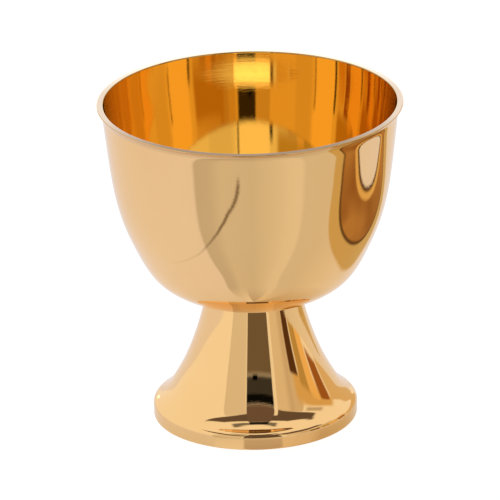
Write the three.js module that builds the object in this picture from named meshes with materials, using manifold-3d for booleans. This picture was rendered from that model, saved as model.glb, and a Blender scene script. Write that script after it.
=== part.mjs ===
// Small communion chalice: a spun cup bolted to a hollow spun foot.
// Millimetres, +Z up, origin at the centre of the underside of the foot.
import * as THREE from 'three';
import { mergeVertices } from 'three/addons/utils/BufferGeometryUtils.js';
import Module from 'manifold-3d';

// ---------------------------------------------------------------- dimensions
const TOTAL_H = 89.2; // table to rim
const SEAT_Z = 34.4; // plane where the bowl sits on the foot
const FOOT_SHEET = 1.0; // wall of the foot
const CUP_SHEET = 0.7; // wall of the cup's lower part

const RIM_OUTER_R = 40.85; // outward-turned lip
const RIM_FLAT_OUTER_R = 40.6; // flat on top of the lip
const RIM_FLAT_INNER_R = 39.42;
const BOWL_SEAT_R = 11.7; // flat in the middle of the bowl's underside
const OFFSET_WALL_TOP_Z = 54; // above this the bowl's inside has its own stations

const FOOT_R = 27.5; // vertical band at the bottom of the foot
const BAND_H = 3.3; // upright part of the band, below its rounded shoulder
const SHOULDER_R = 25.85; // inner end of the shoulder, where the flare starts
const SHOULDER_Z = 5.15;
const HEM_INNER_R = 25.0; // sheet turned inward under the band

const RECESS_R = 9.9; // seat pressed into the foot's top for the stud's head
const RECESS_DEPTH = 1.5;
const FOOT_HOLE_R = 4.4;

const THREAD_MAJOR_R = 4.0; // M8 x 1.25
const THREAD_MINOR_R = 3.25;
const THREAD_PITCH = 1.25;
const THREAD_FLAT = 0.12; // part of the root-to-crest ramp cut off at each end
const THREAD_CLEARANCE = 0.15; // radial, between stud and nut

const STUD_HEAD_R = 9.7;
const STUD_HEAD_CHAMFER = 0.25;
const STUD_END_Z = 18.3;
const STUD_END_R = 2.9; // small end of the chamfer
const STUD_END_SLOPE = 1.1; // radius gained per millimetre of height

const WASHER_R = 8.0; // flat washer
const WASHER_HOLE_R = 4.3;
const WASHER_T = 1.6;
const WASHER_CHAMFER = 0.3;

const LOCK_R = 7.2; // split spring washer, flattened by the nut
const LOCK_HOLE_R = 4.15;
const LOCK_T = 2.0;
const LOCK_SPLIT = 1.1;
const LOCK_SPLIT_LEAN = 24; // degrees about X

const NUT_AF = 13.0; // across flats
const NUT_H = 6.5;
const NUT_FACE_R = NUT_AF / 2 - 0.15; // round end face inside the corner chamfers
const NUT_CHAMFER_R = 1.8; // radial run of the chamfer cone
const NUT_CHAMFER_H = 1.04;
const NUT_COUNTERSINK = 0.3; // extra radius of the bore at the end faces
const BORE_OVERRUN = 0.5; // bore cutter beyond each end face

const BOWL_SEGMENTS = 64;
const FOOT_SEGMENTS = 56;
const WASHER_SEGMENTS = 36;
const NUT_SEGMENTS = 48;
const THREAD_SEGMENTS = 24;
const ROWS_PER_PITCH = 6;
const BOWL_CURVE_STEPS = 19;
const FLARE_CURVE_STEPS = 15;

// Stack-up of the fastening below the seat
const RECESS_Z = SEAT_Z - RECESS_DEPTH; // floor of the pressed seat
const UNDER_FOOT_Z = RECESS_Z - FOOT_SHEET; // underside of the foot's top
const LOCK_TOP_Z = UNDER_FOOT_Z - WASHER_T;
const NUT_TOP_Z = LOCK_TOP_Z - LOCK_T;
const NUT_BOTTOM_Z = NUT_TOP_Z - NUT_H;
const THREAD_TOP_Z = UNDER_FOOT_Z - 0.3; // threaded length of the stud
const THREAD_LOW_Z = STUD_END_Z + 0.5;

// ------------------------------------------------------------------ outlines
// Every outline is a list of (radius, height) points.
const at = (radius, height) => new THREE.Vector2(radius, height);

// Evenly spaced points on a smooth curve through the given points.
function smooth(points, steps) {
  return new THREE.SplineCurve(points).getSpacedPoints(steps);
}

// The same curve moved sideways, to the left of travel.
function offset(points, distance) {
  return points.map((point, i) => {
    const before = points[Math.max(0, i - 1)];
    const after = points[Math.min(points.length - 1, i + 1)];
    const travel = after.clone().sub(before).normalize();
    return at(point.x - travel.y * distance, point.y + travel.x * distance);
  });
}

// -------------------------------------------------------------------- meshes
// Merge the seam and the poles, drop collapsed triangles, and face outward.
function tidy(geometry) {
  geometry.deleteAttribute('normal');
  geometry.deleteAttribute('uv');
  const merged = mergeVertices(geometry, 1e-4);
  const position = merged.attributes.position;
  const source = merged.index.array;
  const kept = [];
  let volume = 0;
  for (let i = 0; i < source.length; i += 3) {
    const triangle = Array.from(source.slice(i, i + 3));
    if (new Set(triangle).size < 3) continue;
    const [first, second, third] = triangle.map(
      (vertex) => new THREE.Vector3().fromBufferAttribute(position, vertex));
    volume += first.dot(second.cross(third)) / 6;
    kept.push(...triangle);
  }
  if (volume < 0) {
    for (let i = 0; i < kept.length; i += 3) {
      [kept[i], kept[i + 1]] = [kept[i + 1], kept[i]];
    }
  }
  merged.setIndex(kept);
  merged.computeVertexNormals();
  return merged;
}

// Revolve an outline about Z.
function revolve(outline, segments) {
  const geometry = new THREE.LatheGeometry(outline, segments);
  geometry.rotateX(Math.PI / 2); // the lathe turns about Y
  return tidy(geometry);
}

const manifold = await Module();
manifold.setup();

function toSolid(geometry) {
  return new manifold.Manifold(new manifold.Mesh({
    numProp: 3,
    vertProperties: new Float32Array(geometry.attributes.position.array),
    triVerts: new Uint32Array(geometry.index.array),
  }));
}

function toGeometry(solid) {
  const mesh = solid.getMesh();
  const geometry = new THREE.BufferGeometry();
  const positions = new Float32Array(mesh.vertProperties);
  geometry.setAttribute('position', new THREE.BufferAttribute(positions, 3));
  geometry.setIndex(Array.from(mesh.triVerts));
  return tidy(geometry);
}

// ------------------------------------------------------------------- threads
// Right-hand thread: 0 at the root, 1 at the crest, with narrow flats on both.
function threadWave(angle, z) {
  let turn = (z / THREAD_PITCH - angle / (2 * Math.PI)) % 1;
  if (turn < 0) turn += 1;
  const ramp = 1 - Math.abs(2 * turn - 1);
  return THREE.MathUtils.clamp((ramp - THREAD_FLAT) / (1 - 2 * THREAD_FLAT), 0, 1);
}

// Outline points up a blank, close enough together to carry the thread.
function threadRows(low, high) {
  const rows = Math.round((high - low) / (THREAD_PITCH / ROWS_PER_PITCH));
  return Array.from({ length: rows + 1 },
    (_, i) => at(THREAD_MAJOR_R, low + ((high - low) * i) / rows));
}

// Cut a helical thread into a revolved blank: between low and high every vertex
// off the axis moves to the wave's radius, as trimmed by limit(radius, z).
function cutThread(geometry, { low, high, clearance, limit }) {
  const position = geometry.attributes.position;
  const minor = THREAD_MINOR_R + clearance;
  const major = THREAD_MAJOR_R + clearance;
  for (let i = 0; i < position.count; i++) {
    const x = position.getX(i);
    const y = position.getY(i);
    const z = position.getZ(i);
    const radius = Math.hypot(x, y);
    if (z < low - 1e-4 || z > high + 1e-4 || radius < 0.5) continue;
    const wanted = limit(minor + (major - minor) * threadWave(Math.atan2(y, x), z), z);
    position.setXY(i, (x / radius) * wanted, (y / radius) * wanted);
  }
  geometry.computeVertexNormals();
  return geometry;
}

// ---------------------------------------------------------------------- bowl
// Outside of the bowl, from the flat seat up to below the lip: (radius, height)
const BOWL_OUTER_STATIONS = [
  at(BOWL_SEAT_R, SEAT_Z), at(13.3, 34.6), at(15.3, 35.0), at(17.8, 35.75),
  at(20.8, 37.0), at(23.8, 38.75), at(26.6, 41.1), at(28.9, 44.2), at(31.4, 49.0),
  at(34.0, 55.0), at(36.12, 62.0), at(37.55, 70.0), at(38.62, 79.0), at(39.3, 85.0),
];

// Inside of the bowl's upper wall, going up: (radius, height)
const BOWL_INNER_STATIONS = [
  at(33.667, 56), at(34.735, 60), at(35.622, 64), at(36.344, 68), at(36.864, 71.5),
  at(37.335, 75), at(37.738, 78), at(38.152, 81), at(38.556, 84), at(38.863, 86.5),
];

// The lip, over the top from outside to inside: (radius, height)
const LIP_STATIONS = [
  at(39.55, 86.8), at(39.85, 87.8), at(40.3, 88.45), at(40.7, 88.78),
  at(RIM_OUTER_R, 88.95), at(40.79, 89.12), at(RIM_FLAT_OUTER_R, TOTAL_H),
  at(RIM_FLAT_INNER_R, TOTAL_H), at(39.28, 89.12), at(39.17, 88.9), at(39.08, 88.4),
];

// Spun cup: flat seat, shallow round bottom, knuckle, near-upright wall and a
// small lip standing out round the rim.
function makeBowl() {
  const outer = smooth(BOWL_OUTER_STATIONS, BOWL_CURVE_STEPS);
  const inner = [
    ...offset(outer, CUP_SHEET).filter((point) => point.y < OFFSET_WALL_TOP_Z),
    ...BOWL_INNER_STATIONS,
  ];
  return revolve([
    at(0, SEAT_Z),
    ...outer,
    ...LIP_STATIONS,
    ...inner.reverse(),
    at(0, SEAT_Z + CUP_SHEET),
  ], BOWL_SEGMENTS);
}

// ---------------------------------------------------------------------- foot
// Outside of the flare, from the shoulder up: (radius, height)
const FLARE_STATIONS = [
  at(SHOULDER_R, SHOULDER_Z), at(25.2, 5.7), at(24.35, 6.5), at(23.5, 7.45),
  at(22.1, 9.55), at(20.5, 12.35), at(18.75, 15.8), at(17.05, 19.9),
  at(15.6, 24.0), at(14.2, 28.7), at(13.0, 33.5),
];

// Spun bell foot, walked round its outline: up the outside, across the top with
// its pressed seat and hole, and down the inside to the turned-in hem.
function makeFoot() {
  const flareOuter = smooth(FLARE_STATIONS, FLARE_CURVE_STEPS);
  const flareInner = offset(flareOuter, FOOT_SHEET);
  const bandInnerR = FOOT_R - FOOT_SHEET;
  const recessOuterR = RECESS_R + FOOT_SHEET;
  const underSeatZ = SEAT_Z - FOOT_SHEET;
  return revolve([
    // band and rounded shoulder
    at(HEM_INNER_R, 0), at(FOOT_R - 0.4, 0), at(FOOT_R - 0.12, 0.12), at(FOOT_R, 0.4),
    at(FOOT_R, BAND_H), at(27.35, 3.85), at(27.0, 4.3), at(26.45, 4.75),
    ...flareOuter,
    // rounded top edge and pressed seat
    at(12.82, 34.0), at(12.5, 34.28), at(12.05, SEAT_Z),
    at(RECESS_R + 0.35, SEAT_Z), at(RECESS_R, SEAT_Z - 0.35), at(RECESS_R, RECESS_Z),
    // hole and underside of the seat
    at(FOOT_HOLE_R, RECESS_Z), at(FOOT_HOLE_R, UNDER_FOOT_Z),
    at(recessOuterR - 0.3, UNDER_FOOT_Z), at(recessOuterR, UNDER_FOOT_Z + 0.3),
    at(recessOuterR, underSeatZ), at(11.55, underSeatZ),
    ...flareInner.slice(1, -1).reverse(),
    // inside of the shoulder and band, then the hem
    at(25.3, 4.3), at(25.85, 3.93), at(26.3, 3.55), at(bandInnerR, 3.15),
    at(bandInnerR, FOOT_SHEET), at(HEM_INNER_R, FOOT_SHEET), at(HEM_INNER_R, 0),
  ], FOOT_SEGMENTS);
}

// ------------------------------------------------------------------ cup_stud
// Turned in one piece: a round head under the bowl, a plain neck and an M8
// thread with a chamfered end.
function makeCupStud() {
  const blank = revolve([
    at(0, STUD_END_Z), at(STUD_END_R, STUD_END_Z),
    ...threadRows(THREAD_LOW_Z, THREAD_TOP_Z),
    at(THREAD_MAJOR_R, THREAD_TOP_Z + 0.35), at(THREAD_MAJOR_R, RECESS_Z),
    at(STUD_HEAD_R, RECESS_Z), at(STUD_HEAD_R, SEAT_Z - STUD_HEAD_CHAMFER),
    at(STUD_HEAD_R - STUD_HEAD_CHAMFER, SEAT_Z), at(0, SEAT_Z),
  ], THREAD_SEGMENTS);
  return cutThread(blank, {
    low: THREAD_LOW_Z,
    high: THREAD_TOP_Z,
    clearance: 0,
    limit: (radius, z) => Math.min(radius, STUD_END_R + (z - STUD_END_Z) * STUD_END_SLOPE),
  });
}

// ------------------------------------------------------------------- washers
function makeFlatWasher() {
  return revolve([
    at(WASHER_HOLE_R, LOCK_TOP_Z), at(WASHER_R - WASHER_CHAMFER, LOCK_TOP_Z),
    at(WASHER_R, LOCK_TOP_Z + WASHER_CHAMFER), at(WASHER_R, UNDER_FOOT_Z),
    at(WASHER_HOLE_R, UNDER_FOOT_Z), at(WASHER_HOLE_R, LOCK_TOP_Z),
  ], WASHER_SEGMENTS);
}

// A square-section ring with a leaning cut through its +X side.
function makeLockWasher() {
  const ring = revolve([
    at(LOCK_HOLE_R, NUT_TOP_Z), at(LOCK_R, NUT_TOP_Z), at(LOCK_R, LOCK_TOP_Z),
    at(LOCK_HOLE_R, LOCK_TOP_Z), at(LOCK_HOLE_R, NUT_TOP_Z),
  ], WASHER_SEGMENTS);
  const split = new THREE.BoxGeometry(8, LOCK_SPLIT, 6); // longer and taller than the section
  split.rotateX(THREE.MathUtils.degToRad(LOCK_SPLIT_LEAN));
  split.translate(LOCK_HOLE_R + 2, 0, (NUT_TOP_Z + LOCK_TOP_Z) / 2);
  return toGeometry(toSolid(ring).subtract(toSolid(tidy(split))));
}

// ------------------------------------------------------------------- hex_nut
function makeHexPrism() {
  const cornerR = NUT_AF / 2 / Math.cos(Math.PI / 6);
  const corners = Array.from({ length: 6 }, (_, i) => {
    const angle = (i * Math.PI) / 3;
    return new THREE.Vector2(cornerR * Math.cos(angle), cornerR * Math.sin(angle));
  });
  const prism = new THREE.ExtrudeGeometry(new THREE.Shape(corners),
    { depth: NUT_H, bevelEnabled: false });
  prism.translate(0, 0, NUT_BOTTOM_Z);
  return tidy(prism);
}

// Threaded cutter for the nut, widening to a countersink at both end faces.
function makeNutBore() {
  const low = NUT_BOTTOM_Z - BORE_OVERRUN;
  const high = NUT_TOP_Z + BORE_OVERRUN;
  const mouthR = THREAD_MAJOR_R + THREAD_CLEARANCE + NUT_COUNTERSINK;
  const blank = revolve([at(0, low), ...threadRows(low, high), at(0, high)], THREAD_SEGMENTS);
  return cutThread(blank, {
    low,
    high,
    clearance: THREAD_CLEARANCE,
    limit: (radius, z) => Math.max(radius, mouthR - Math.min(z - NUT_BOTTOM_Z, NUT_TOP_Z - z)),
  });
}

function makeHexNut() {
  const chamferOuterR = NUT_FACE_R + NUT_CHAMFER_R;
  const chamfered = revolve([
    at(0, NUT_BOTTOM_Z), at(NUT_FACE_R, NUT_BOTTOM_Z),
    at(chamferOuterR, NUT_BOTTOM_Z + NUT_CHAMFER_H),
    at(chamferOuterR, NUT_TOP_Z - NUT_CHAMFER_H),
    at(NUT_FACE_R, NUT_TOP_Z), at(0, NUT_TOP_Z),
  ], NUT_SEGMENTS);
  const body = toSolid(makeHexPrism()).intersect(toSolid(chamfered));
  return toGeometry(body.subtract(toSolid(makeNutBore())));
}

// ----------------------------------------------------------------- materials
const GILT = 0xe9be7c;
const BRASS = 0xc8a75c;

function metal(name, { color, roughness }) {
  return new THREE.MeshStandardMaterial({ name, color, roughness, metalness: 1 });
}

const giltBowl = metal('gilt_bowl', { color: GILT, roughness: 0.08 });
const giltFoot = metal('gilt_foot', { color: GILT, roughness: 0.1 });
const turnedBrass = metal('turned_brass', { color: BRASS, roughness: 0.32 });
const nutBrass = metal('nut_brass', { color: BRASS, roughness: 0.3 });
const washerBrass = metal('washer_brass', { color: 0xbf9f5b, roughness: 0.38 });
const springBronze = metal('spring_bronze', { color: 0xa9793f, roughness: 0.42 });

// ------------------------------------------------------------------ assembly
function piece(name, geometry, material) {
  const mesh = new THREE.Mesh(geometry, material);
  mesh.name = name;
  return mesh;
}

function group(name, ...children) {
  const parent = new THREE.Group();
  parent.name = name;
  return parent.add(...children);
}

const chalice = group('communion_chalice',
  group('cup',
    piece('bowl', makeBowl(), giltBowl),
    piece('cup_stud', makeCupStud(), turnedBrass)),
  group('base',
    piece('foot', makeFoot(), giltFoot),
    piece('flat_washer', makeFlatWasher(), washerBrass),
    piece('lock_washer', makeLockWasher(), springBronze)),
  piece('hex_nut', makeHexNut(), nutBrass));

export default chalice;
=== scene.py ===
"""A gilt metal cup on a flared foot, held together by a stud, two washers and a nut.

The cup stands on the table top at z = 0 with its axis on Z. The camera looks along +Y, so front is
-Y and right is +X. Shapes are drawn in millimetres, mostly as (r, z) profiles, and built in metres.
"""

import math

import bmesh
import bpy
import numpy as np
from mathutils import Matrix, Vector


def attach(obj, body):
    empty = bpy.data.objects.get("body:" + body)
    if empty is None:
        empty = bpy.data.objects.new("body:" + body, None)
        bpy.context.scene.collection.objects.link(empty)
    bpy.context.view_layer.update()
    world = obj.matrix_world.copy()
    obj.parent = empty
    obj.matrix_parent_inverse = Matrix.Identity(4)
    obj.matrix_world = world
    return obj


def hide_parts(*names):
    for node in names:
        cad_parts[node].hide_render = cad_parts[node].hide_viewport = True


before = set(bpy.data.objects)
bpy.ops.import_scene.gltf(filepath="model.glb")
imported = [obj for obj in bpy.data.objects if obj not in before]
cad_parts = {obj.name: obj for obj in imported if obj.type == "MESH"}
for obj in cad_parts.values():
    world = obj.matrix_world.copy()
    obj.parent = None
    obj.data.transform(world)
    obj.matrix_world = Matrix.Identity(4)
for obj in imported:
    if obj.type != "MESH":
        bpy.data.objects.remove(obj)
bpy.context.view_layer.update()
scene = bpy.context.scene

# ------------------------------------------------------------------ dimensions (mm)
MM = 0.001                                # metres in a millimetre
TOTAL_H = 89.2
CUP_SHEET = 0.7
SHEET = 1.0                               # sheet of the foot
SEAT_Z = 34.4                             # where the bowl rests on the foot
BOWL_SEAT_R = 11.7
BOWL_FLOOR_Z = SEAT_Z + CUP_SHEET
LIP_INNER_R = 39.2
FOOT_R = 27.5
HEM_INNER_R = 25.0
RECESS_R = 9.9                            # recess in the foot's top, for the stud's head
RECESS_Z = SEAT_Z - 1.5
UNDER_FOOT_Z = RECESS_Z - SHEET
FOOT_HOLE_R = 4.4
STUD_HEAD_R = 9.7
STUD_END_Z = 18.3
THREAD_MAJOR_R, THREAD_MINOR_R = 4.0, 3.25
THREAD_DEPTH = THREAD_MAJOR_R - THREAD_MINOR_R
THREAD_PITCH = 1.25
THREAD_CLEARANCE = 0.15
THREAD_FLAT = 0.12                        # share of the depth cut flat at root and at crest
WASHER_R, WASHER_HOLE_R, WASHER_T = 8.0, 4.3, 1.6
LOCK_R, LOCK_HOLE_R, LOCK_T = 7.2, 4.15, 2.0
LOCK_SPLIT = 1.1
LOCK_SLANT = math.radians(24)
NUT_AF, NUT_H = 13.0, 6.5                 # across flats, height
LOCK_TOP_Z = UNDER_FOOT_Z - WASHER_T
NUT_TOP_Z = LOCK_TOP_Z - LOCK_T
NUT_BOTTOM_Z = NUT_TOP_Z - NUT_H

# ------------------------------------------------------------------ profiles, (r, z) in mm
BOWL_OUTER = [
    (BOWL_SEAT_R, SEAT_Z), (13.3, 34.6), (15.3, 35.0), (17.8, 35.75), (20.8, 37.0),
    (23.8, 38.75), (26.6, 41.1), (28.9, 44.2), (31.4, 49.0), (34.0, 55.0),
    (36.12, 62.0), (37.55, 70.0), (38.62, 79.0), (39.3, 85.0), (39.55, 86.8),
    (39.85, 87.8), (40.3, 88.45), (40.7, 88.8),
]
BOWL_LIP = [
    (40.86, 88.95), (40.8, 89.13), (40.65, TOTAL_H), (39.35, TOTAL_H), (LIP_INNER_R, 89.15),
]
BOWL_FLOOR = [(0, BOWL_FLOOR_Z), (3.5, BOWL_FLOOR_Z), (7.5, BOWL_FLOOR_Z)]
BOWL_UPPER_INNER = [
    (33.667, 56), (34.735, 60), (35.622, 64), (36.344, 68), (36.864, 71.5), (37.335, 75),
    (37.738, 78), (38.152, 81), (38.556, 84), (38.863, 86.5), (39.08, 88.5), (39.13, 89.0),
]
INNER_FOLLOWS_TO_Z = 53.5                 # below this the inside follows the outside
INNER_STATIONS = 14                       # points taken from the offset curve there
FOOT_OUTER = [
    (FOOT_R, 2.3), (FOOT_R, 3.3), (27.35, 3.85), (27.0, 4.3), (26.45, 4.75), (25.85, 5.15),
    (25.2, 5.7), (24.35, 6.5), (23.5, 7.45), (22.1, 9.55), (20.5, 12.35), (18.75, 15.8),
    (17.05, 19.9), (15.6, 24.0), (14.2, 28.7), (13.0, 33.5),
]
FOOT_HEM_OUTSIDE = [(HEM_INNER_R, 0), (27.1, 0), (27.38, 0.12), (FOOT_R, 0.4)]
FOOT_TOP = [                              # over the shoulder, into the recess and back under it
    (12.82, 34.0), (12.5, 34.28), (12.05, SEAT_Z),
    (RECESS_R + 0.35, SEAT_Z), (RECESS_R, SEAT_Z - 0.35), (RECESS_R, RECESS_Z),
    (FOOT_HOLE_R, RECESS_Z), (FOOT_HOLE_R, UNDER_FOOT_Z),
    (RECESS_R + SHEET - 0.3, UNDER_FOOT_Z), (RECESS_R + SHEET, UNDER_FOOT_Z + 0.3),
    (RECESS_R + SHEET, SEAT_Z - SHEET), (11.55, SEAT_Z - SHEET),
]
FOOT_HEM_INSIDE = [
    (25.3, 4.3), (25.85, 3.93), (26.3, 3.55), (FOOT_R - SHEET, 3.15), (FOOT_R - SHEET, SHEET),
    (HEM_INNER_R, SHEET), (HEM_INNER_R, 0),
]
FLARE_ABOVE_Z, FLARE_UNDER_TO_Z = 5.6, 32.6   # part of the foot whose underside is an offset
STUD_TIP = [
    (0, STUD_END_Z), (1.2, STUD_END_Z), (2.4, STUD_END_Z), (2.82, STUD_END_Z),
    (2.93, STUD_END_Z + 0.05),
]
THREAD_FROM_Z, THREAD_TO_Z = STUD_END_Z + 0.5, UNDER_FOOT_Z - 0.3
STUD_NECK_AND_HEAD = [
    (THREAD_MAJOR_R, THREAD_TO_Z + 0.3), (THREAD_MAJOR_R, RECESS_Z - 0.06),
    (THREAD_MAJOR_R + 0.02, RECESS_Z - 0.01), (THREAD_MAJOR_R + 0.08, RECESS_Z),
    (6.5, RECESS_Z), (STUD_HEAD_R - 0.14, RECESS_Z), (STUD_HEAD_R - 0.04, RECESS_Z + 0.04),
    (STUD_HEAD_R, RECESS_Z + 0.14), (STUD_HEAD_R, SEAT_Z - 0.3),
    (STUD_HEAD_R - 0.03, SEAT_Z - 0.2), (STUD_HEAD_R - 0.24, SEAT_Z), (6.0, SEAT_Z), (0, SEAT_Z),
]
WASHER_SECTION = [                        # only the lower outer edge is bevelled
    (WASHER_HOLE_R, LOCK_TOP_Z), (WASHER_R - 0.3, LOCK_TOP_Z), (WASHER_R, LOCK_TOP_Z + 0.3),
    (WASHER_R, UNDER_FOOT_Z), (WASHER_HOLE_R, UNDER_FOOT_Z), (WASHER_HOLE_R, LOCK_TOP_Z),
]
LOCK_SECTION = [
    (LOCK_HOLE_R, NUT_TOP_Z), (LOCK_R, NUT_TOP_Z), (LOCK_R, LOCK_TOP_Z),
    (LOCK_HOLE_R, LOCK_TOP_Z), (LOCK_HOLE_R, NUT_TOP_Z),
]

# ------------------------------------------------------------------ profile helpers
CURVE_STEP = 0.05                         # spacing along a spline
WALK_STEP = 0.03                          # spacing along an outline before it is softened
BLUR_PER_RADIUS = 0.6                     # blur that rounds a corner by about one radius
SPACING_BLUR = 0.15                       # spreads fine sampling to either side of a corner
SAME_POINT = 1e-6
ON_AXIS = 1e-9


def arc_length(points):
    return np.r_[0, np.cumsum(np.hypot(*np.diff(points, axis=0).T))]


def signed_area(loop):
    ahead = np.roll(loop, -1, axis=0)
    return 0.5 * np.sum(loop[:, 0] * ahead[:, 1] - ahead[:, 0] * loop[:, 1])


def spline(points, start):
    """Cubic spline through (r, z) points as a dense polyline, leaving in the direction start.
    Its curvature falls to zero at the far end."""
    points = np.array(points, float)
    count = len(points)
    length = arc_length(points)
    gap = np.diff(length)
    along = np.linspace(0, length[-1], int(length[-1] / CURVE_STEP) + 2)
    span = np.clip(np.searchsorted(length, along, side="right") - 1, 0, count - 2)
    past, left, width = along - length[span], length[span + 1] - along, gap[span]
    columns = []
    for value, slope in zip(points.T, start):
        rise = np.diff(value) / gap
        matrix = np.zeros((count, count))
        wanted = np.zeros(count)
        matrix[0, :2] = 2 * gap[0], gap[0]
        wanted[0] = 6 * (rise[0] - slope)
        for i in range(1, count - 1):
            matrix[i, i - 1:i + 2] = gap[i - 1], 2 * (gap[i - 1] + gap[i]), gap[i]
            wanted[i] = 6 * (rise[i] - rise[i - 1])
        matrix[-1, -1] = 1
        bend = np.linalg.solve(matrix, wanted)
        columns.append(
            (bend[span] * left**3 + bend[span + 1] * past**3) / (6 * width)
            + (value[span] / width - bend[span] * width / 6) * left
            + (value[span + 1] / width - bend[span + 1] * width / 6) * past
        )
    return np.stack(columns, 1)


def offset(curve, distance):
    """The dense curve moved by distance to the left of its travel."""
    travel = np.gradient(curve, axis=0)
    travel /= np.hypot(travel[:, 0], travel[:, 1])[:, None]
    return curve + distance * np.stack([-travel[:, 1], travel[:, 0]], 1)


def walk(parts):
    """Joins point lists into one evenly spaced polyline. Returns it and its exact spacing."""
    points = np.concatenate(parts)
    points = points[np.r_[True, np.diff(arc_length(points)) > SAME_POINT]]
    length = arc_length(points)
    count = int(length[-1] / WALK_STEP)
    along = np.linspace(0, length[-1], count + 1)
    even = np.stack([np.interp(along, length, column) for column in points.T], 1)
    return even, length[-1] / count


def blur(values, sigma):
    """Periodic Gaussian blur along the first axis, sigma in samples."""
    frequency = np.fft.rfftfreq(len(values))
    gain = np.exp(-2 * (np.pi * frequency * sigma) ** 2)
    return np.fft.irfft(np.fft.rfft(values, axis=0) * gain[:, None], n=len(values), axis=0)


def soften(parts, radius, max_step, max_turn, on_axis=False):
    """Rounds an outline's corners by about radius and samples it finely where it turns.

    max_step (mm) and max_turn (degrees) limit one sample. An outline that starts and ends on the
    axis is mirrored across it first; any other must end where it starts. Returns the points,
    their outward normals and the arc length at each.
    """
    even, step = walk(parts)
    loop = np.concatenate([even, (even * [-1, 1])[::-1][1:-1]]) if on_axis else even[:-1]
    count = len(loop)
    soft = blur(loop, radius * BLUR_PER_RADIUS / step)
    frequency = np.fft.fftfreq(count, 1.0)[:, None]
    slope = np.real(np.fft.ifft(np.fft.fft(soft, axis=0) * (2j * np.pi * frequency), axis=0))
    length = np.hypot(slope[:, 0], slope[:, 1])
    tangent = slope / length[:, None]
    outward = np.stack([tangent[:, 1], -tangent[:, 0]], 1) * np.sign(signed_area(soft))
    turn = np.abs(np.gradient(np.unwrap(np.arctan2(tangent[:, 1], tangent[:, 0]))))

    # samples wanted per step of the loop, summed up and shared out evenly
    density = np.maximum(length / max_step, turn / math.radians(max_turn))
    density = np.maximum(density, blur(density[:, None], SPACING_BLUR / step)[:, 0])
    total = np.r_[0, np.cumsum(density)][:len(even)]
    shares = np.linspace(0, total[-1], int(math.ceil(total[-1])) + 1)
    at = np.interp(shares, total, np.arange(len(total)))
    if not on_axis:
        at = at[:-1]
    index = np.floor(at).astype(int)
    part = (at - index)[:, None]

    def pick(values):
        return values[index % count] * (1 - part) + values[(index + 1) % count] * part

    points, normals = pick(soft), pick(outward)
    normals /= np.hypot(normals[:, 0], normals[:, 1])[:, None]
    if on_axis:
        for end in (0, -1):
            points[end, 0] = 0
            normals[end] = [0, np.sign(normals[end, 1])]
    return points, normals, at * step


def ease(values, start, end):
    """0 before start, 1 after end, smooth between."""
    t = np.clip((values - start) / (end - start), 0, 1)
    return t * t * (3 - 2 * t)


# ------------------------------------------------------------------ mesh helpers
def add_object(name, vertices, faces):
    """A new object from vertices in metres."""
    mesh = bpy.data.meshes.new(name)
    mesh.from_pydata(vertices, [], faces)
    obj = bpy.data.objects.new(name, mesh)
    scene.collection.objects.link(obj)
    return obj


def add_smooth(name, vertices, faces):
    """A new smooth-shaded object from vertices in millimetres."""
    obj = add_object(name, (np.array(vertices, float) * MM).tolist(), faces)
    obj.data.shade_smooth()
    return obj


def angles_round(segments):
    return 2 * np.pi * np.arange(segments) / segments


def skin(name, rings, segments, closed=False, flip=False):
    """Joins rings of (radius, z) about the axis; radius is one value or one per segment.
    A ring of no radius becomes a single point. closed joins the last ring to the first."""
    angles = angles_round(segments)
    vertices, starts, tips = [], [], []
    for radius, z in rings:
        starts.append(len(vertices))
        tips.append(np.max(radius) < ON_AXIS)
        count = 1 if tips[-1] else segments
        radii = np.broadcast_to(radius, segments)[:count]
        x, y = radii * np.cos(angles[:count]), radii * np.sin(angles[:count])
        vertices += list(zip(x, y, np.full(count, z)))
    faces = []
    for i in range(len(rings) if closed else len(rings) - 1):
        j = (i + 1) % len(rings)
        first, second = starts[i], starts[j]
        for k in range(segments):
            after = (k + 1) % segments
            if tips[i]:
                face = (first, second + after, second + k)
            elif tips[j]:
                face = (first + k, first + after, second)
            else:
                face = (first + k, first + after, second + after, second + k)
            faces.append(face[::-1] if flip else face)
    return add_smooth(name, vertices, faces)


def lathe(name, outline, segments, zones=None):
    """Revolves a softened outline into a closed mesh with exact normals.
    zones maps an attribute name to its value at each outline point."""
    points, normals, _ = outline
    closed = points[0, 0] > 0
    obj = skin(name, points, segments, closed, flip=signed_area(points) <= 0)
    counts = [1 if r < ON_AXIS else segments for r in points[:, 0]]
    source = np.repeat(np.arange(len(points)), counts)
    angles = angles_round(segments)
    around = np.concatenate([angles[:count] for count in counts])
    radial, axial = normals[source].T
    exact = np.stack([radial * np.cos(around), radial * np.sin(around), axial], 1)
    obj.data.normals_split_custom_set_from_vertices(exact.tolist())
    for key, values in (zones or {}).items():
        attribute = obj.data.attributes.new(key, "FLOAT", "POINT")
        attribute.data.foreach_set("value", np.asarray(values, np.float32)[source])
    return obj


def sharpen(obj, degrees):
    """Breaks the smooth shading at edges that turn more than this."""
    bm = bmesh.new()
    bm.from_mesh(obj.data)
    for edge in bm.edges:
        if len(edge.link_faces) == 2 and edge.calc_face_angle(0) > math.radians(degrees):
            edge.smooth = False
    bm.to_mesh(obj.data)
    bm.free()


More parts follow.
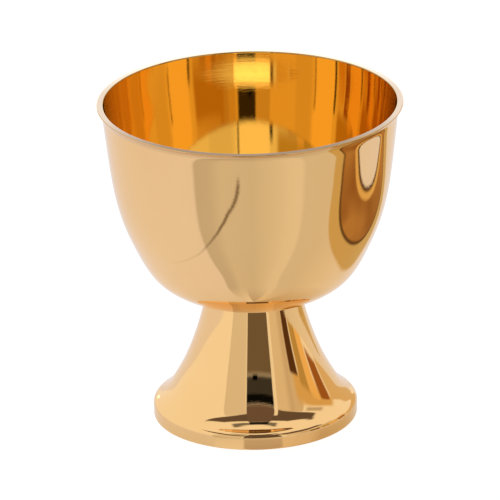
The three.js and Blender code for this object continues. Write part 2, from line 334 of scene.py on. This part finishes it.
# ------------------------------------------------------------------ bowl and foot
def make_bowl():
    outer = spline(BOWL_OUTER, start=(1, 0.02))
    # the inside follows one sheet's thickness away, then its own stations up to the rim
    follow = offset(outer[outer[:, 1] < INNER_FOLLOWS_TO_Z], CUP_SHEET)
    stations = np.linspace(0, len(follow) - 1, INNER_STATIONS).astype(int)
    inner_points = np.concatenate([BOWL_FLOOR, follow[stations][1:], BOWL_UPPER_INNER])
    inner = spline(inner_points, start=(1, 0))
    outline = soften(
        [[(0, SEAT_Z)], outer, BOWL_LIP, inner[::-1]],
        radius=0.14, max_step=0.95, max_turn=2.0, on_axis=True,
    )
    points, normals, arc = outline
    r, z = points.T
    past_rim = np.where(arc > arc[np.argmax(z)], 1.0, 0.0)
    # the flat top of the lip, and the step where it meets the inner wall; these masks carry painted
    # shade and painted light
    land = ease(normals[:, 1], 0.93, 0.985) * ease(z, 88.95, 89.1)
    edge = np.exp(-(((r - LIP_INNER_R) / 0.1) ** 2)) * ease(z, 88.7, 88.9) * past_rim
    zones = {"inside": past_rim * (1 - land), "land": land, "edge": edge}
    return lathe("bowl_shell", outline, 300, zones)


def make_foot():
    outer = spline(FOOT_OUTER, start=(0, 1))
    under = offset(outer[outer[:, 1] > FLARE_ABOVE_Z], SHEET)
    under = under[under[:, 1] < FLARE_UNDER_TO_Z][::-1]
    outline = soften(
        [FOOT_HEM_OUTSIDE, outer, FOOT_TOP, under, FOOT_HEM_INSIDE],
        radius=0.12, max_step=0.6, max_turn=3.0,
    )
    points, _, arc = outline
    r, z = points.T
    # the inside starts a little beyond the highest point and beyond the bottom outer edge
    top = arc[np.argmax(z)]
    bottom = arc[np.argmin(np.where(r > 27.0, z, 99))]
    inside = np.where((arc > top + 4.5) | (arc < bottom - 0.4), 1.0, 0.0)
    return lathe("foot_shell", outline, 256, {"inside": inside})


# ------------------------------------------------------------------ fasteners
def thread_wave(angles, z):
    """Height of the thread's flank, 0 at the root and 1 at the crest."""
    phase = np.mod(z / THREAD_PITCH - angles / (2 * np.pi), 1.0)
    triangle = 1 - np.abs(2 * phase - 1)
    return np.clip((triangle - THREAD_FLAT) / (1 - 2 * THREAD_FLAT), 0, 1)


def make_stud():
    """Threaded lower end with a tapered tip, plain neck, round head."""
    segments = 96
    angles = angles_round(segments)
    tip_r, tip_slope = 2.9, 1.1
    runout = 0.9

    def radius(z):
        thread = THREAD_MINOR_R + THREAD_DEPTH * thread_wave(angles, z)
        thread = np.minimum(thread, tip_r + (z - STUD_END_Z) * tip_slope)
        fade = np.clip((z - (THREAD_TO_Z - runout)) / runout, 0, 1)
        return np.maximum(thread, THREAD_MINOR_R + THREAD_DEPTH * fade)

    count = int((THREAD_TO_Z - THREAD_FROM_Z) / (THREAD_PITCH / 16)) + 1
    heights = np.linspace(THREAD_FROM_Z, THREAD_TO_Z, count)
    rings = STUD_TIP + [(radius(z), z) for z in heights] + STUD_NECK_AND_HEAD
    stud = skin("stud", rings, segments)
    sharpen(stud, 28)
    return stud


def make_washer():
    outline = soften([WASHER_SECTION], radius=0.09, max_step=0.5, max_turn=8.0)
    return lathe("washer", outline, 96)


def make_spring_washer():
    """Flattened split ring with slanted ends; the split is on +X."""
    section, _, _ = soften([LOCK_SECTION], radius=0.12, max_step=0.5, max_turn=12.0)
    middle_z = (NUT_TOP_Z + LOCK_TOP_Z) / 2
    steps, size = 110, len(section)
    vertices, faces = [], []
    for i in range(steps + 1):
        for r, z in section:
            half = (LOCK_SPLIT / 2 / math.cos(LOCK_SLANT)) / r
            lean = (z - middle_z) * math.tan(LOCK_SLANT) / r
            first, last = half - lean, 2 * math.pi - half - lean
            angle = first + (last - first) * i / steps
            vertices.append((r * math.cos(angle), r * math.sin(angle), z))
    last_start = steps * size
    start_centre, end_centre = len(vertices), len(vertices) + 1
    vertices += [
        tuple(np.mean(vertices[:size], axis=0)),
        tuple(np.mean(vertices[last_start:], axis=0)),
    ]
    for i in range(steps):
        here, ahead = i * size, (i + 1) * size
        for k in range(size):
            after = (k + 1) % size
            faces.append((here + k, ahead + k, ahead + after, here + after))
    for k in range(size):
        after = (k + 1) % size
        faces.append((start_centre, k, after))
        faces.append((end_centre, last_start + after, last_start + k))
    ring = add_smooth("spring_washer", vertices, faces)
    bm = bmesh.new()
    bm.from_mesh(ring.data)
    bmesh.ops.recalc_face_normals(bm, faces=bm.faces)
    bm.to_mesh(ring.data)
    bm.free()
    sharpen(ring, 30)
    return ring


def make_nut():
    """Hexagon nut: chamfered both ends, countersunk and threaded bore."""
    segments = 144
    angles = angles_round(segments)
    sixth = np.pi / 6
    hexagon = NUT_AF / 2 / np.cos(np.mod(angles + sixth, 2 * sixth) - sixth)
    # the corners are slightly rounded
    hexagon = np.minimum(hexagon, NUT_AF / 2 / math.cos(sixth) - 0.12)
    chamfer_r, chamfer_slope = NUT_AF / 2 - 0.15, 1.8 / 1.04
    mouth_r = THREAD_MAJOR_R + THREAD_CLEARANCE + 0.3

    def depth(z):
        return min(z - NUT_BOTTOM_Z, NUT_TOP_Z - z)

    def outer(z):
        return np.minimum(hexagon, chamfer_r + depth(z) * chamfer_slope)

    def bore(z):
        thread = THREAD_MINOR_R + THREAD_CLEARANCE + THREAD_DEPTH * thread_wave(angles, z)
        return np.maximum(thread, mouth_r - depth(z))

    chamfer = np.linspace(0, 0.75, 14)
    outer_z = np.r_[
        NUT_BOTTOM_Z + chamfer,
        np.linspace(NUT_BOTTOM_Z + 0.9, NUT_TOP_Z - 0.9, 10),
        (NUT_TOP_Z - chamfer)[::-1],
    ]
    bore_z = np.linspace(NUT_TOP_Z, NUT_BOTTOM_Z, int(NUT_H / (THREAD_PITCH / 14)) + 1)
    face_radii = (chamfer_r - 0.9, mouth_r + 0.3)
    rings = [(outer(z), z) for z in outer_z]
    rings += [(r, NUT_TOP_Z) for r in face_radii]
    rings += [(bore(z), z) for z in bore_z]
    rings += [(r, NUT_BOTTOM_Z) for r in reversed(face_radii)]
    nut = skin("nut", rings, segments, closed=True)
    sharpen(nut, 24)
    return nut


# ------------------------------------------------------------------ node helpers
DEGREES = 180 / math.pi                   # degrees in a radian
TO_MM = 1000.0                            # shader positions are in metres


class Value:
    """An output socket. Arithmetic on it adds Math nodes to its tree."""

    def __init__(self, nodes, socket):
        self.nodes = nodes
        self.socket = socket

    def __add__(self, other):
        return self.nodes.calc("ADD", self, other)

    def __radd__(self, other):
        return self.nodes.calc("ADD", other, self)

    def __sub__(self, other):
        return self.nodes.calc("SUBTRACT", self, other)

    def __rsub__(self, other):
        return self.nodes.calc("SUBTRACT", other, self)

    def __mul__(self, other):
        return self.nodes.calc("MULTIPLY", self, other)

    def __truediv__(self, other):
        return self.nodes.calc("DIVIDE", self, other)


def as_colour(colour):
    """A grey or an (r, g, b) with its alpha added; a Value passes through."""
    if isinstance(colour, float):
        colour = (colour,) * 3
    return (*colour, 1) if isinstance(colour, tuple) else colour


def tinted(colour, factors):
    return tuple(c * f for c, f in zip(colour, factors))


def distance_mm(x, y):
    return x.nodes.calc("SQRT", x * x + y * y) * TO_MM


class Nodes:
    """Builds a node tree; place is the texture coordinate in the given space."""

    def __init__(self, tree, space="Object"):
        self.tree = tree
        self.place = self.value("ShaderNodeTexCoord", space)

    def add(self, kind, inputs=None, **settings):
        """A node with its settings made, and its inputs set or linked to a Value."""
        node = self.tree.nodes.new(kind)
        for key, setting in settings.items():
            setattr(node, key, setting)
        for key, value in (inputs or {}).items():
            self.feed(node.inputs[key], value)
        return node

    def feed(self, target, value):
        if isinstance(value, Value):
            self.tree.links.new(value.socket, target)
        else:
            target.default_value = value

    def value(self, kind, output, inputs=None, **settings):
        return Value(self, self.add(kind, inputs, **settings).outputs[output])

    def calc(self, operation, *operands, clamp=False):
        inputs = dict(enumerate(operands))
        return self.value("ShaderNodeMath", 0, inputs, operation=operation, use_clamp=clamp)

    def split(self, vector):
        node = self.add("ShaderNodeSeparateXYZ", {0: vector})
        return [Value(self, socket) for socket in node.outputs]

    def vector(self, x, y, z):
        return self.value("ShaderNodeCombineXYZ", 0, {0: x, 1: y, 2: z})

    def light_path(self, *names):
        node = self.add("ShaderNodeLightPath")
        return [Value(self, node.outputs[name]) for name in names]

    def attribute(self, name):
        return self.value("ShaderNodeAttribute", "Fac", attribute_name=name)

    def noise(self, vector, scale, detail, rough):
        inputs = {"Scale": scale, "Detail": detail, "Roughness": rough, "Vector": vector}
        return self.value("ShaderNodeTexNoise", "Fac", inputs, noise_dimensions="3D")

    def ramp(self, value, start, end, low=0.0, high=1.0, shape="LINEAR"):
        """low where value is below start, high above end."""
        inputs = {"From Min": start, "From Max": end, "To Min": low, "To Max": high,
                  "Value": value}
        return self.value(
            "ShaderNodeMapRange", "Result", inputs, interpolation_type=shape, clamp=True)

    def colour_ramp(self, value, stops, shape="LINEAR"):
        """stops are (position, colour)."""
        node = self.add("ShaderNodeValToRGB", {"Fac": value})
        node.color_ramp.interpolation = shape
        elements = node.color_ramp.elements
        while len(elements) < len(stops):
            elements.new(0.5)
        for element, (position, colour) in zip(elements, stops):
            element.position = position
            element.color = as_colour(colour)
        return Value(self, node.outputs["Color"])

    def mix(self, factor, below, above):
        """below where factor is 0, above where it is 1."""
        # sockets 6, 7 and output 2 are the Mix node's colour ones
        inputs = {"Factor": factor, 6: as_colour(below), 7: as_colour(above)}
        return self.value("ShaderNodeMix", 2, inputs, data_type="RGBA")

    def bump(self, height, distance, normal=None):
        inputs = {"Strength": 1.0, "Distance": distance, "Height": height}
        if normal is not None:
            inputs["Normal"] = normal
        return self.value("ShaderNodeBump", "Normal", inputs)


def new_material(name):
    material = bpy.data.materials.new(name)
    material.use_nodes = True
    return material, Nodes(material.node_tree)


def finish_metal(nodes, colour, roughness, normal):
    bsdf = nodes.tree.nodes["Principled BSDF"]
    bsdf.inputs["Metallic"].default_value = 1.0
    nodes.feed(bsdf.inputs["Base Color"], colour)
    nodes.feed(bsdf.inputs["Roughness"], roughness)
    nodes.feed(bsdf.inputs["Normal"], normal)


# ------------------------------------------------------------------ metals
GOLD_OUTSIDE = (0.975, 0.63, 0.28)
GOLD_OUTSIDE_SHADE = (0.985, 0.965, 0.93)     # factors at the plating's darkest
GOLD_BOWL_INSIDE = (0.93, 0.65, 0.235)
GOLD_FOOT_INSIDE = (0.86, 0.55, 0.24)
# painted shade just under the lip
GOLD_PAINTED_SHADE_UNDER_LIP = (0.55, 0.34, 0.15)
# painted light: a paler gold shown inside after several reflections
GOLD_PAINTED_PALER_REFLECTIONS = (0.84, 0.75, 0.55)             # inside, after several reflections
# painted shade and painted light on the lip's flat top: dark at the front, bright at the back
LAND_PAINTED_SHADE_FRONT, LAND_PAINTED_TONE_MIDDLE, LAND_PAINTED_LIGHT_BACK = (0.257, 0.163, 0.093), (0.71, 0.57, 0.44), (0.99, 0.86, 0.7)
# painted shade along the step where the lip meets the inner wall
LAND_EDGE_PAINTED_SHADE = (0.30, 0.15, 0.05)
TARNISH = (0.72, 0.62, 0.5)                   # factors where machined metal is stained
SPOT = (0.55, 0.55, 0.55)                     # factors in its small dents


def gilt(name, inner_colour, outer_rough, inner_rough):
    """Polished gold plate with faint spinning lines, soft smudges and fine wiping scratches."""
    material, m = new_material(name)
    x, y, z = m.split(m.place)
    turn = m.calc("ARCTAN2", y, x) * (1 / (2 * math.pi))
    r, z = distance_mm(x, y), z * TO_MM
    inside = m.attribute("inside")
    # fine rings running round the axis
    rings = m.noise(m.vector(r * 1.0, z * 1.0, 0.0), scale=5.5, detail=4.0, rough=0.6)
    # slow waviness over one or two centimetres, with three swells round the axis
    swell = m.calc("COSINE", turn * (2 * math.pi * 3))
    slow = m.noise(m.place, scale=55.0, detail=1.0, rough=0.4) + swell * 0.05

    # smudges and wiping marks in the gloss
    smudge = m.noise(m.place, scale=38.0, detail=4.0, rough=0.62)
    stretched = {"Scale": (260, 260, 2600), "Vector": m.place}
    wipe_place = m.value("ShaderNodeMapping", 0, stretched)
    wipe = m.noise(wipe_place, scale=1.0, detail=5.0, rough=0.72)
    marks = (m.ramp(smudge, start=0.5, end=0.78, high=0.01)
             + m.ramp(wipe, start=0.58, end=0.8, high=0.018))
    roughness = inside * (inner_rough - outer_rough) + outer_rough + marks

    # the plating's tone varies slightly at random, and just under the lip a painted shade darkens
    # it
    tone = m.ramp(m.noise(m.place, scale=21.0, detail=3.0, rough=0.55), start=0.3, end=0.7)
    outer = m.mix(tone, GOLD_OUTSIDE, tinted(GOLD_OUTSIDE, GOLD_OUTSIDE_SHADE))
    outer = m.mix(m.ramp(z, start=87.0, end=88.3, high=0.55), outer, GOLD_PAINTED_SHADE_UNDER_LIP)
    # painted light: gold seen in gold is painted paler the more turns of the light it has taken
    # (glossy depth 2 to 5)
    depth, = m.light_path("Glossy Depth")
    inner = m.mix(m.ramp(depth, start=2.0, end=5.0), inner_colour, GOLD_PAINTED_PALER_REFLECTIONS)
    colour = m.mix(inside, outer, inner)
    # the lip's flat top is painted with shade at the front and with light at the back, darkest at
    # the front (y in metres)
    _, y, _ = m.split(m.place)
    land = m.mix(m.ramp(y, start=-0.034, end=-0.012), LAND_PAINTED_SHADE_FRONT, LAND_PAINTED_TONE_MIDDLE)
    land = m.mix(m.ramp(y, start=0.008, end=0.03), land, LAND_PAINTED_LIGHT_BACK)
    colour = m.mix(m.attribute("land"), colour, land)
    # a painted shade line along the step where the lip meets the inner wall
    colour = m.mix(m.attribute("edge") * 0.75, colour, LAND_EDGE_PAINTED_SHADE)

    normal = m.bump(slow, distance=0.000022)
    normal = m.bump(rings, distance=0.0000022, normal=normal)
    normal = m.bump(wipe, distance=0.0000012, normal=normal)
    finish_metal(m, colour, roughness, normal)
    return material


def machined(name, colour, rough, mark_scale, dull=0.0):
    """Turned or stamped metal: tool marks round the axis, faint tarnish and small dents."""
    material, m = new_material(name)
    x, y, z = m.split(m.place)
    mark_place = m.vector(distance_mm(x, y), z * TO_MM, 0.0)
    marks = m.noise(mark_place, scale=mark_scale, detail=5.0, rough=0.7)
    stain = m.noise(m.place, scale=240.0, detail=5.0, rough=0.6)
    spots = m.noise(m.place, scale=900.0, detail=2.0, rough=0.5)
    stained = m.ramp(stain, start=0.42, end=0.72, high=0.65 + dull)
    shade = m.mix(stained, colour, tinted(colour, TARNISH))
    shade = m.mix(m.ramp(spots, start=0.62, end=0.8, high=0.5), shade, tinted(colour, SPOT))
    roughness = (m.ramp(stain, start=0.3, end=0.75, low=rough, high=rough + 0.14)
                 + m.ramp(marks, start=0.4, end=0.7, high=0.08))
    normal = m.bump(marks, distance=0.00001)
    normal = m.bump(spots, distance=0.000006, normal=normal)
    finish_metal(m, shade, roughness, normal)
    return material


# ------------------------------------------------------------------ the six pieces
# object, material, body it rides on, CAD node it replaces, material slot
PIECES = [
    (make_bowl(),
     gilt("gilt_bowl_polished", GOLD_BOWL_INSIDE, outer_rough=0.01, inner_rough=0.004),
     "cup", "bowl", "gilt_bowl"),
    (make_foot(),
     gilt("gilt_foot_polished", GOLD_FOOT_INSIDE, outer_rough=0.012, inner_rough=0.22),
     "base", "foot", "gilt_foot"),
    (make_stud(),
     machined("turned_brass_stud", (0.80, 0.60, 0.30), rough=0.2, mark_scale=9.0),
     "cup", "cup_stud", "turned_brass"),
    (make_washer(),
     machined("stamped_brass_washer", (0.74, 0.56, 0.30), rough=0.3, mark_scale=3.0, dull=0.1),
     "base", "flat_washer", "washer_brass"),
    (make_spring_washer(),
     machined("phosphor_bronze_spring", (0.62, 0.40, 0.20), rough=0.34, mark_scale=4.0, dull=0.2),
     "base", "lock_washer", "spring_bronze"),
    (make_nut(),
     machined("drawn_brass_nut", (0.78, 0.59, 0.29), rough=0.24, mark_scale=7.0),
     "nut", "hex_nut", "nut_brass"),
]
for piece, metal, body, cad_node, slot in PIECES:
    piece.data.materials.append(metal)
    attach(piece, body)
    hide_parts(cad_node)

# ------------------------------------------------------------------ table top
TABLE_R, TABLE_Z = 6, -0.00005            # metres
TABLE_SEGMENTS = 96
# painted shade and painted reflections on the floor, seen only in the cup: azimuth the ray travels
# in (degrees, 0 to the front, positive to the right) and colour
TABLE_PAINTED_TONES_FAR = [
    (-180, (0.84, 0.84, 0.9)),
    (-52, (0.82, 0.83, 0.97)),
    (-50, (0.82, 0.83, 0.97)),
    (-48, (0.58, 0.58, 0.61)),
    (-36, (0.60, 0.60, 0.62)),
    (-26, (0.68, 0.68, 0.69)),
    (-8, (0.67, 0.67, 0.68)),
    (0, (0.66, 0.66, 0.66)),
    (18, (0.72, 0.72, 0.72)),
    (31, (0.78, 0.78, 0.79)),
    (43, (0.80, 0.80, 0.82)),
    (46, (0.70, 0.70, 0.71)),
    (65, (0.70, 0.69, 0.68)),
    (110, (0.80, 0.78, 0.76)),
    (180, (0.84, 0.84, 0.9)),
]
# the same painted shade and reflections, close to the foot
TABLE_PAINTED_TONES_NEAR = [
    (-180, (0.80, 0.80, 0.84)),
    (-50, (0.78, 0.78, 0.82)),
    (-46, (0.86, 0.86, 0.87)),
    (-15, (0.88, 0.88, 0.88)),
    (-13, (0.56, 0.50, 0.46)),
    (29, (0.56, 0.50, 0.46)),
    (31, (0.80, 0.72, 0.62)),
    (62, (0.76, 0.68, 0.58)),
    (80, (0.60, 0.50, 0.38)),
    (120, (0.66, 0.58, 0.46)),
    (180, (0.80, 0.80, 0.84)),
]
# (x, y) in mm of a thin dark curve painted on the floor as a painted reflection, from the cup's
# left round towards its front
LINE_TRACK = [
    (-65, -11), (-61, -34), (-56, -56), (-54, -76), (-51, -96), (-47, -115), (-40, -134),
    (-27, -155),
]
LINE_REACH_Y, LINE_REACH_X = 160, 80      # mm that scale the curve's table to 0..1
PAINTED_LINE_COLOUR = (0.13, 0.09, 0.06)
# centre, radius, softness (mm) and colour of a round tray's rings at the right, a painted
# reflection of a tray that is not in the scene; None is patchy
PAINTED_TRAY_RINGS = [
    ((157, 25), 97, 1.5, (0.62, 0.48, 0.23)),
    ((159, 26), 78, 1.5, (0.12, 0.07, 0.03)),
    ((160, 27), 75, 1.5, None),
    ((200, 40), 62, 1.5, (0.75, 0.52, 0.2)),
    ((203, 41), 56, 1.0, (0.12, 0.07, 0.04)),
    ((205, 42), 53, 1.0, (0.80, 0.82, 0.96)),
]
PAINTED_TRAY_BROWN, PAINTED_TRAY_GOLDEN = (0.30, 0.14, 0.04), (0.46, 0.25, 0.085)


def painted_dark_line(f, x, y, rise):
    """Strength of the thin dark curve, a painted reflection; rise is how far a ray climbs to where
    it came from.
    """
    ahead = y * -TO_MM
    stops = [(-line_y / LINE_REACH_Y, (-line_x / LINE_REACH_X,) * 3)
             for line_x, line_y in LINE_TRACK]
    track = f.colour_ramp(ahead / LINE_REACH_Y, stops, shape="CARDINAL")
    aside = f.calc("ABSOLUTE", x * TO_MM + track * LINE_REACH_X)
    # the curve widens with distance to the front
    aside = aside / f.calc("MAXIMUM", ahead, 1.0)
    line = (f.ramp(aside, start=0.012, end=0.026, low=1.0, high=0.0)
            * f.ramp(ahead, start=50.0, end=115.0, low=0.12, high=0.85))
    ends = (f.ramp(ahead, start=8.0, end=20.0)
            * f.ramp(ahead, start=156.0, end=160.0, low=1.0, high=0.0))
    # not shown again in the lip, where the metal turns outward
    return line * ends * f.ramp(rise, start=83.0, end=84.5, low=1.0, high=0.0)


def table_material():
    """White to the camera. To other rays it is softer and shows painted shade and painted
    reflections: tones by azimuth, a dark curve at the front left and the rings of a tray at the
    right."""
    material, f = new_material("pale_table_top")
    f.tree.nodes.remove(f.tree.nodes["Principled BSDF"])
    x, y, _ = f.split(f.place)
    back_x, back_y, back_z = f.split(f.value("ShaderNodeNewGeometry", "Incoming"))
    azimuth = f.calc("ARCTAN2", back_x * -1.0, back_y) * DEGREES
    whole_turn = (azimuth + 180.0) / 360.0

    def tones(stops):
        return f.colour_ramp(whole_turn, [((deg + 180) / 360, colour) for deg, colour in stops])

    def reach(centre_x, centre_y):
        return distance_mm(x - centre_x * MM, y - centre_y * MM)

    near = f.ramp(reach(0, 0), start=30.0, end=46.0, low=1.0, high=0.0)
    # painted shade and painted reflections by azimuth, shown to rays other than the camera's
    tone = f.mix(near, tones(TABLE_PAINTED_TONES_FAR), tones(TABLE_PAINTED_TONES_NEAR))
    patches = f.noise(f.place, scale=15.0, detail=1.0, rough=0.5)
    patchy = f.mix(f.ramp(patches, start=0.35, end=0.65), PAINTED_TRAY_BROWN, PAINTED_TRAY_GOLDEN)
    # painted reflection of the tray's rings
    for centre, radius, soft, colour in PAINTED_TRAY_RINGS:
        within = f.ramp(
            reach(*centre), start=radius - soft, end=radius + soft, low=1.0, high=0.0)
        tone = f.mix(within, tone, colour or patchy)

    seen, ray_length = f.light_path("Is Camera Ray", "Ray Length")
    line = painted_dark_line(f, x, y, rise=ray_length * back_z * TO_MM)
    # painted dark line on the floor, seen only in the cup's reflections
    tone = f.mix(line, tone, PAINTED_LINE_COLOUR)
    tone = f.mix(seen, tone, 1.0)

    # a very slight mottle so the surface is not dead flat
    mottle = f.noise(f.place, scale=30.0, detail=3.0, rough=0.5)
    mottle = f.ramp(mottle, start=0.3, end=0.7, low=0.985, high=1.0)
    strength = mottle * (0.82 + seen * 0.08)
    # the floor glows: white to the camera, and to other rays with the painted shade and painted
    # reflections
    glow = f.value("ShaderNodeEmission", 0, {"Color": tone, "Strength": strength})
    darkening = 0.75
    matt = f.value("ShaderNodeBsdfDiffuse", 0, {"Color": f.mix(darkening, tone, 0.0)})
    both = f.value("ShaderNodeAddShader", 0, {0: glow, 1: matt})
    f.feed(f.tree.nodes["Material Output"].inputs["Surface"], both)
    return material


def make_table():
    vertices = [(0, 0, TABLE_Z)]
    for k in range(TABLE_SEGMENTS):
        angle = 2 * math.pi * k / TABLE_SEGMENTS
        vertices.append((TABLE_R * math.cos(angle), TABLE_R * math.sin(angle), TABLE_Z))
    faces = [(0, 1 + k, 1 + (k + 1) % TABLE_SEGMENTS) for k in range(TABLE_SEGMENTS)]
    table = add_object("floor", vertices, faces)
    table.data.materials.append(table_material())


make_table()

# ------------------------------------------------------------------ studio (world)
# Panels of the light tent; later ones lie over earlier ones. Columns: azimuth from and to
# (degrees, 0 to the front, positive to the right), elevation from and to, softness of each,
# colour or grey, and the turn of the light it shows to (None is every turn).
WING_PANELS = [
    ((-150, -110), (15, 35), (4.0, 3.0), 0.85, "twice"),
    ((-48, -15), (-10, 45), (0.8, 1.5), (0.73, 0.71, 0.68), None),      # left wing
    ((30, 62), (-10, 39), (1.0, 1.0), (0.74, 0.68, 0.58), None),        # right wing
    ((52, 62), (-10, 39), (5.0, 1.0), (0.62, 0.54, 0.45), None),
    ((60, 73), (17, 39), (1.5, 1.0), (0.67, 0.60, 0.50), None),
]
CEILING_COLOUR = (0.132, 0.1, 0.09)
FRONT_PANELS = [
    ((-50, 45), (64.5, 69.5), (4.0, 0.8), 0.2, None),                   # bar above the ceiling
    ((-13, 26), (62.5, 68.5), (0.8, 0.6), 0.015, None),
    ((-14, 28), (36.5, 62.5), (0.8, 0.8), (0.15, 0.11, 0.1), None),
    ((-16, -14), (-10, 36), (0.4, 0.8), 0.86, None),                    # slit's left edge
    ((28.5, 34), (-10, 46), (0.6, 1.0), 0.9, None),                     # slit's right edge
    ((-14, 28.5), (-10, 22), (0.5, 2.0), (0.165, 0.13, 0.095), None),   # slit before the camera
    ((-14, 28.5), (22, 34), (0.5, 2.0), 0.045, None),
    ((-14, 28.5), (-10, 22), (0.5, 0.8), 0.012, "thrice"),
    ((-14, 28.5), (32.5, 36.5), (0.5, 0.5), 0.004, None),               # bar at the slit's top
    ((-4, 4), (22.0, 25.0), (0.8, 0.6), 0.0, None),                     # the camera
]
BACK_GREY, BACK_FOOT_GREY = 1.15, 2.1
SIDE_PANELS = [
    ((143, 148), (5, 21), (0.7, 1.0), 0.05, "twice"),                   # posts by the back panel
    ((-161, -158), (16.5, 25), (0.5, 0.8), 0.2, "twice"),
    ((62, 135), (19, 30), (4.0, 2.5), (0.57, 0.42, 0.15), "twice"),     # warm things at the right
    ((66, 122), (15, 29), (4.0, 3.0), (0.70, 0.50, 0.22), "once"),
    ((62, 75), (-6, 17), (1.2, 1.2), (0.10, 0.045, 0.015), None),
    ((77, 90), (-6, 21), (1.5, 2.0), (0.50, 0.35, 0.12), None),
    ((89, 101), (-6, 21), (1.5, 2.0), (0.88, 0.60, 0.25), None),
    ((103, 117), (2, 19), (1.5, 1.5), (0.34, 0.13, 0.03), None),
    ((119, 138), (-6, 17), (2.0, 2.0), (0.75, 0.50, 0.17), "twice"),
    ((119, 158), (-6, 19), (2.0, 2.0), (0.72, 0.56, 0.33), "once"),
    ((78, 106), (31.5, 38), (4.0, 2.0), (0.55, 0.5, 0.45), None),
]


def build_world():
    world = bpy.data.worlds.new("studio")
    scene.world = world
    world.use_nodes = True
    world.node_tree.nodes.clear()
    w = Nodes(world.node_tree, space="Generated")
    x, y, z = w.split(w.place)
    azimuth = w.calc("ARCTAN2", x, y * -1.0) * DEGREES
    elevation = w.calc("ARCSINE", z) * DEGREES
    camera_ray, depth = w.light_path("Is Camera Ray", "Glossy Depth")

    def step(value, start, end):
        return w.ramp(value, start, end, shape="SMOOTHSTEP")

    def window(value, start, end, soft):
        rise = step(value, start - soft, start + soft)
        return rise * (1.0 - step(value, end - soft, end + soft))

    def ceiling():
        """Its lower edge rises and its upper edge falls towards the sides."""
        aside = w.calc("ABSOLUTE", azimuth)
        left = 1.0 - step(azimuth, 0, 30)
        low = left * (40.5 + aside * 0.135) + (1.0 - left) * (35.2 + aside * 0.07)
        high = 60.0 - w.calc("MAXIMUM", aside - 60.0, 0.0) * 0.25
        band = step(elevation - low, -0.7, 0.7) * step(high - elevation, -0.9, 0.9)
        return band * window(azimuth, -92, 98, soft=3)

    def back():
        """Straight behind the cup, across the seam where azimuth passes 180."""
        right, left = step(azimuth, 147, 149), 1.0 - step(azimuth, -157, -155)
        return w.calc("ADD", right, left, clamp=True) * window(elevation, 8, 34, soft=1.5)

    twice = step(depth, 1.4, 1.6)
    turns = {"once": 1.0 - twice, "twice": twice, "thrice": step(depth, 2.4, 2.6)}

    def lay(level, panels):
        for azimuths, elevations, (soft_a, soft_e), colour, turn in panels:
            mask = window(azimuth, *azimuths, soft_a) * window(elevation, *elevations, soft_e)
            if turn:
                mask = turns[turn] * mask
            level = w.mix(mask, level, colour)
        return level

    base = w.add("ShaderNodeRGB")
    base.outputs[0].default_value = as_colour(0.95)
    level = lay(Value(w, base.outputs[0]), WING_PANELS)
    level = w.mix(ceiling(), level, CEILING_COLOUR)
    level = lay(level, FRONT_PANELS)
    # the back panel is brightest along its foot
    behind = back()
    level = w.mix(behind, level, BACK_GREY)
    level = w.mix(behind * (1.0 - step(elevation, 12.5, 14.5)), level, BACK_FOOT_GREY)
    level = lay(level, SIDE_PANELS)
    # what the camera sees directly is plain white
    level = w.mix(camera_ray, level, 1.0)
    background = w.value("ShaderNodeBackground", 0, {"Color": level})
    w.add("ShaderNodeOutputWorld", {"Surface": background})


build_world()

# ------------------------------------------------------------------ camera
# About 1.77 m from the cup's foot and 23 degrees above the table; the roll makes the cup's
# axis lean by about a degree in the view.
CAMERA_PLACE = (0.0, -1.6275, 0.69024)
CAMERA_YAW = math.radians(-0.0252)        # positive to the right
CAMERA_PITCH = math.radians(21.5735)      # downwards
CAMERA_ROLL = math.radians(-1.067)
LENS, SENSOR_WIDTH = 469.5, 36.0          # mm


def make_camera():
    lens = bpy.data.cameras.new("camera")
    lens.sensor_width = SENSOR_WIDTH
    lens.lens = LENS
    lens.clip_start, lens.clip_end = 0.05, 30.0
    camera = bpy.data.objects.new("camera", lens)
    scene.collection.objects.link(camera)
    scene.camera = camera
    camera.location = CAMERA_PLACE
    level = math.cos(CAMERA_PITCH)
    forward = Vector((
        math.sin(CAMERA_YAW) * level, math.cos(CAMERA_YAW) * level, -math.sin(CAMERA_PITCH)))
    side = Vector((math.cos(CAMERA_YAW), -math.sin(CAMERA_YAW), 0))
    up = side.cross(forward)
    right = side * math.cos(CAMERA_ROLL) + up * math.sin(CAMERA_ROLL)
    above = up * math.cos(CAMERA_ROLL) - side * math.sin(CAMERA_ROLL)
    camera.rotation_mode = "QUATERNION"
    axes = Matrix((right, above, -forward)).transposed()
    camera.rotation_quaternion = axes.to_quaternion()


make_camera()

# ------------------------------------------------------------------ render settings
scene.view_settings.view_transform = "Standard"
scene.view_settings.look = "None"
scene.cycles.max_bounces = 24
scene.cycles.glossy_bounces = 20
scene.cycles.diffuse_bounces = 4
scene.cycles.use_denoising = True
scene.cycles.blur_glossy = 0.0
scene.cycles.sample_clamp_indirect = 0.0
